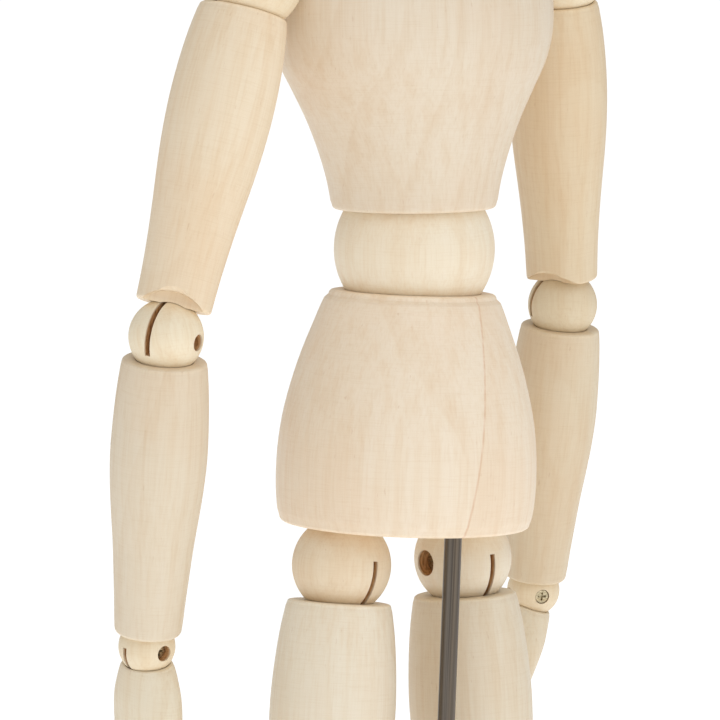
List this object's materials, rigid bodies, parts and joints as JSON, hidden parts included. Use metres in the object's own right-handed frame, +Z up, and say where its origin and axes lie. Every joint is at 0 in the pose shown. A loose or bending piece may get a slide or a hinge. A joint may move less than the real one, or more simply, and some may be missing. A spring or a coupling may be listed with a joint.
{
  "type": "artist mannequin",
  "caption": "Wooden drawing mannequin with turned limbs on ball joints, held up by a steel rod on a round wooden base.",
  "frame": {"origin": "centre of the base's underside", "axes": "+Z up, the figure faces -Y and its left side is +X"},
  "size_m": [0.1855, 0.1502, 0.5469],
  "materials": {
    "limb_wood": "smooth sanded pale hardwood, unvarnished, fine grain",
    "ball_wood": "smooth turned pale hardwood, a little warmer than the limbs",
    "base_wood": "sanded pale hardwood with a clear matt coat",
    "fitting_steel": "zinc plated steel with a faint straw tint",
    "rod_steel": "drawn steel rod with fine lengthwise marks"
  },
  "bodies": {
    "stand": {"base": "base_wood", "rod": "rod_steel"},
    "pelvis": {"pelvis": "limb_wood"},
    "waist_ball": {"waist_ball": "ball_wood", "waist_hardware": "fitting_steel"},
    "waist_strap": {"waist_strap": "fitting_steel"},
    "chest": {"chest": "limb_wood"},
    "neck_ball": {"neck_ball": "ball_wood", "neck_hardware": "fitting_steel"},
    "head": {"head": "limb_wood", "head_strap": "fitting_steel"},
    "left_shoulder_ball": {"left_shoulder_ball": "ball_wood", "left_shoulder_hardware": "fitting_steel"},
    "left_shoulder_strap": {"left_shoulder_strap": "fitting_steel"},
    "left_upper_arm": {"left_upper_arm": "limb_wood"},
    "left_elbow_strap": {"left_elbow_strap": "fitting_steel"},
    "left_elbow_ball": {"left_elbow_ball": "ball_wood", "left_elbow_hardware": "fitting_steel"},
    "left_forearm": {"left_forearm": "limb_wood"},
    "left_wrist_ball": {"left_wrist_ball": "ball_wood", "left_wrist_hardware": "fitting_steel"},
    "left_hand": {"left_hand": "limb_wood", "left_hand_strap": "fitting_steel"},
    "left_hip_ball": {"left_hip_ball": "ball_wood", "left_hip_hardware": "fitting_steel"},
    "left_hip_strap": {"left_hip_strap": "fitting_steel"},
    "left_thigh": {"left_thigh": "limb_wood", "left_knee_strap": "fitting_steel"},
    "left_knee_ball": {"left_knee_ball": "ball_wood", "left_knee_hardware": "fitting_steel"},
    "left_shin": {"left_shin": "limb_wood"},
    "left_ankle_ball": {"left_ankle_ball": "ball_wood", "left_ankle_hardware": "fitting_steel"},
    "left_foot": {"left_foot": "limb_wood", "left_foot_strap": "fitting_steel"},
    "right_shoulder_ball": {"right_shoulder_ball": "ball_wood", "right_shoulder_hardware": "fitting_steel"},
    "right_shoulder_strap": {"right_shoulder_strap": "fitting_steel"},
    "right_upper_arm": {"right_upper_arm": "limb_wood"},
    "right_elbow_strap": {"right_elbow_strap": "fitting_steel"},
    "right_elbow_ball": {"right_elbow_ball": "ball_wood", "right_elbow_hardware": "fitting_steel"},
    "right_forearm": {"right_forearm": "limb_wood"},
    "right_wrist_ball": {"right_wrist_ball": "ball_wood", "right_wrist_hardware": "fitting_steel"},
    "right_hand": {"right_hand": "limb_wood", "right_hand_strap": "fitting_steel"},
    "right_hip_ball": {"right_hip_ball": "ball_wood", "right_hip_hardware": "fitting_steel"},
    "right_hip_strap": {"right_hip_strap": "fitting_steel"},
    "right_thigh": {"right_thigh": "limb_wood", "right_knee_strap": "fitting_steel"},
    "right_knee_ball": {"right_knee_ball": "ball_wood", "right_knee_hardware": "fitting_steel"},
    "right_shin": {"right_shin": "limb_wood"},
    "right_ankle_ball": {"right_ankle_ball": "ball_wood", "right_ankle_hardware": "fitting_steel"},
    "right_foot": {"right_foot": "limb_wood", "right_foot_strap": "fitting_steel"}
  },
  "joints": [
    {"name": "pelvis_swivel", "type": "hinge", "parent": "stand", "child": "pelvis", "pos_m": [0, 0.023, 0.295], "axis": [0, 0, 1], "continuous": true},
    {"name": "waist_turn", "type": "hinge", "parent": "pelvis", "child": "waist_ball", "pos_m": [0, 0, 0.3743], "axis": [0, 0, 1], "range_deg": [-80, 80]},
    {"name": "waist_bend", "type": "hinge", "parent": "waist_ball", "child": "waist_strap", "pos_m": [0, 0, 0.3743], "axis": [0, 1, 0], "range_deg": [-24, 9]},
    {"name": "chest_turn", "type": "hinge", "parent": "waist_strap", "child": "chest", "pos_m": [0, 0, 0.3743], "axis": [0.0523, 0, 0.9986], "range_deg": [-80, 80]},
    {"name": "neck_turn", "type": "hinge", "parent": "chest", "child": "neck_ball", "pos_m": [0.00553, 0, 0.47986], "axis": [0.0523, 0, 0.9986], "range_deg": [-75, 75]},
    {"name": "head_nod", "type": "hinge", "parent": "neck_ball", "child": "head", "pos_m": [0.00553, 0, 0.47986], "axis": [0.9948, 0.0872, -0.0521], "range_deg": [-25, 25]},
    {"name": "left_shoulder_swing", "type": "hinge", "parent": "chest", "child": "left_shoulder_ball", "pos_m": [0.06248, 0.00311, 0.44963], "axis": [-0.9948, -0.0872, 0.0521], "range_deg": [-60, 170]},
    {"name": "left_arm_raise", "type": "hinge", "parent": "left_shoulder_ball", "child": "left_shoulder_strap", "pos_m": [0.06248, 0.00311, 0.44963], "axis": [0.0884, -0.9959, 0.0216], "range_deg": [-6, 115]},
    {"name": "left_arm_twist", "type": "hinge", "parent": "left_shoulder_strap", "child": "left_upper_arm", "pos_m": [0.06248, 0.00311, 0.44963], "axis": [-0.243, -0.0005, 0.97], "range_deg": [-60, 110]},
    {"name": "left_elbow_turn", "type": "hinge", "parent": "left_upper_arm", "child": "left_elbow_strap", "pos_m": [0.08727, 0.00316, 0.35069], "axis": [-0.243, -0.0005, 0.97], "range_deg": [-30, 55]},
    {"name": "left_elbow_bend", "type": "hinge", "parent": "left_elbow_strap", "child": "left_elbow_ball", "pos_m": [0.08727, 0.00316, 0.35069], "axis": [0.4438, -0.8893, 0.1107], "range_deg": [0, 60]},
    {"name": "left_forearm_turn", "type": "hinge", "parent": "left_elbow_ball", "child": "left_forearm", "pos_m": [0.08727, 0.00316, 0.35069], "axis": [0.0745, 0.1597, 0.9844], "range_deg": [-120, 120]},
    {"name": "left_wrist_turn", "type": "hinge", "parent": "left_forearm", "child": "left_wrist_ball", "pos_m": [0.0806, -0.01113, 0.26259], "axis": [0.0745, 0.1597, 0.9844], "range_deg": [-90, 90]},
    {"name": "left_hand_bend", "type": "hinge", "parent": "left_wrist_ball", "child": "left_hand", "pos_m": [0.0806, -0.01113, 0.26259], "axis": [-0.0943, 0.9838, -0.1525], "range_deg": [-45, 36]},
    {"name": "left_hip_turn", "type": "hinge", "parent": "pelvis", "child": "left_hip_ball", "pos_m": [0.022, 0, 0.284], "axis": [-0.0698, 0, 0.9976], "range_deg": [-20, 60]},
    {"name": "left_leg_swing", "type": "hinge", "parent": "left_hip_ball", "child": "left_hip_strap", "pos_m": [0.022, 0, 0.284], "axis": [-0.9921, -0.1045, -0.0694], "range_deg": [-22, 68]},
    {"name": "left_leg_twist", "type": "hinge", "parent": "left_hip_strap", "child": "left_thigh", "pos_m": [0.022, 0, 0.284], "axis": [-0.0651, -0.0434, 0.9969], "range_deg": [-20, 60]},
    {"name": "left_knee_bend", "type": "hinge", "parent": "left_thigh", "child": "left_knee_ball", "pos_m": [0.02962, 0.00508, 0.16736], "axis": [0.9921, 0.1045, 0.0694], "range_deg": [-5, 85]},
    {"name": "left_shin_turn", "type": "hinge", "parent": "left_knee_ball", "child": "left_shin", "pos_m": [0.02962, 0.00508, 0.16736], "axis": [-0.0651, -0.0434, 0.9969], "range_deg": [-20, 60]},
    {"name": "left_ankle_turn", "type": "hinge", "parent": "left_shin", "child": "left_ankle_ball", "pos_m": [0.03685, 0.00989, 0.0567], "axis": [-0.0651, -0.0434, 0.9969], "range_deg": [-20, 60]},
    {"name": "left_foot_bend", "type": "hinge", "parent": "left_ankle_ball", "child": "left_foot", "pos_m": [0.03685, 0.00989, 0.0567], "axis": [-0.9921, -0.1045, -0.0694], "range_deg": [-15, 30]},
    {"name": "right_shoulder_swing", "type": "hinge", "parent": "chest", "child": "right_shoulder_ball", "pos_m": [-0.05392, -0.00709, 0.45573], "axis": [-0.9948, -0.0872, 0.0521], "range_deg": [-60, 170]},
    {"name": "right_arm_raise", "type": "hinge", "parent": "right_shoulder_ball", "child": "right_shoulder_strap", "pos_m": [-0.05392, -0.00709, 0.45573], "axis": [-0.092, 0.9907, -0.0998], "range_deg": [-5, 125]},
    {"name": "right_arm_twist", "type": "hinge", "parent": "right_shoulder_strap", "child": "right_upper_arm", "pos_m": [-0.05392, -0.00709, 0.45573], "axis": [0.1724, 0.1146, 0.9783], "range_deg": [-141, 39]},
    {"name": "right_elbow_turn", "type": "hinge", "parent": "right_upper_arm", "child": "right_elbow_strap", "pos_m": [-0.0715, -0.01878, 0.35594], "axis": [0.1724, 0.1146, 0.9783], "range_deg": [-15, 75]},
    {"name": "right_elbow_bend", "type": "hinge", "parent": "right_elbow_strap", "child": "right_elbow_ball", "pos_m": [-0.0715, -0.01878, 0.35594], "axis": [-0.2821, -0.9459, 0.1605], "range_deg": [-26, 30]},
    {"name": "right_forearm_turn", "type": "hinge", "parent": "right_elbow_ball", "child": "right_forearm", "pos_m": [-0.0715, -0.01878, 0.35594], "axis": [0.0478, 0.1533, 0.987], "range_deg": [-120, 120]},
    {"name": "right_wrist_turn", "type": "hinge", "parent": "right_forearm", "child": "right_wrist_ball", "pos_m": [-0.07578, -0.0325, 0.2676], "axis": [0.0478, 0.1533, 0.987], "range_deg": [-90, 90]},
    {"name": "right_hand_bend", "type": "hinge", "parent": "right_wrist_ball", "child": "right_hand", "pos_m": [-0.07578, -0.0325, 0.2676], "axis": [-0.2987, -0.9407, 0.1605], "range_deg": [-45, 38]},
    {"name": "right_hip_turn", "type": "hinge", "parent": "pelvis", "child": "right_hip_ball", "pos_m": [-0.022, 0, 0.284], "axis": [0.0698, 0, 0.9976], "range_deg": [-4, 45]},
    {"name": "right_leg_swing", "type": "hinge", "parent": "right_hip_ball", "child": "right_hip_strap", "pos_m": [-0.022, 0, 0.284], "axis": [-0.9976, 0, 0.0698], "range_deg": [-21, 70]},
    {"name": "right_leg_twist", "type": "hinge", "parent": "right_hip_strap", "child": "right_thigh", "pos_m": [-0.022, 0, 0.284], "axis": [0.0696, -0.061, 0.9957], "range_deg": [-60, 20]},
    {"name": "right_knee_bend", "type": "hinge", "parent": "right_thigh", "child": "right_knee_ball", "pos_m": [-0.03015, 0.00714, 0.1675], "axis": [0.9976, 0, -0.0698], "range_deg": [-5, 85]},
    {"name": "right_shin_turn", "type": "hinge", "parent": "right_knee_ball", "child": "right_shin", "pos_m": [-0.03015, 0.00714, 0.1675], "axis": [0.0696, -0.061, 0.9957], "range_deg": [-60, 20]},
    {"name": "right_ankle_turn", "type": "hinge", "parent": "right_shin", "child": "right_ankle_ball", "pos_m": [-0.03787, 0.01392, 0.05698], "axis": [0.0696, -0.061, 0.9957], "range_deg": [-60, 20]},
    {"name": "right_foot_bend", "type": "hinge", "parent": "right_ankle_ball", "child": "right_foot", "pos_m": [-0.03787, 0.01392, 0.05698], "axis": [-0.9976, 0, 0.0698], "range_deg": [-15, 30]}
  ]
}
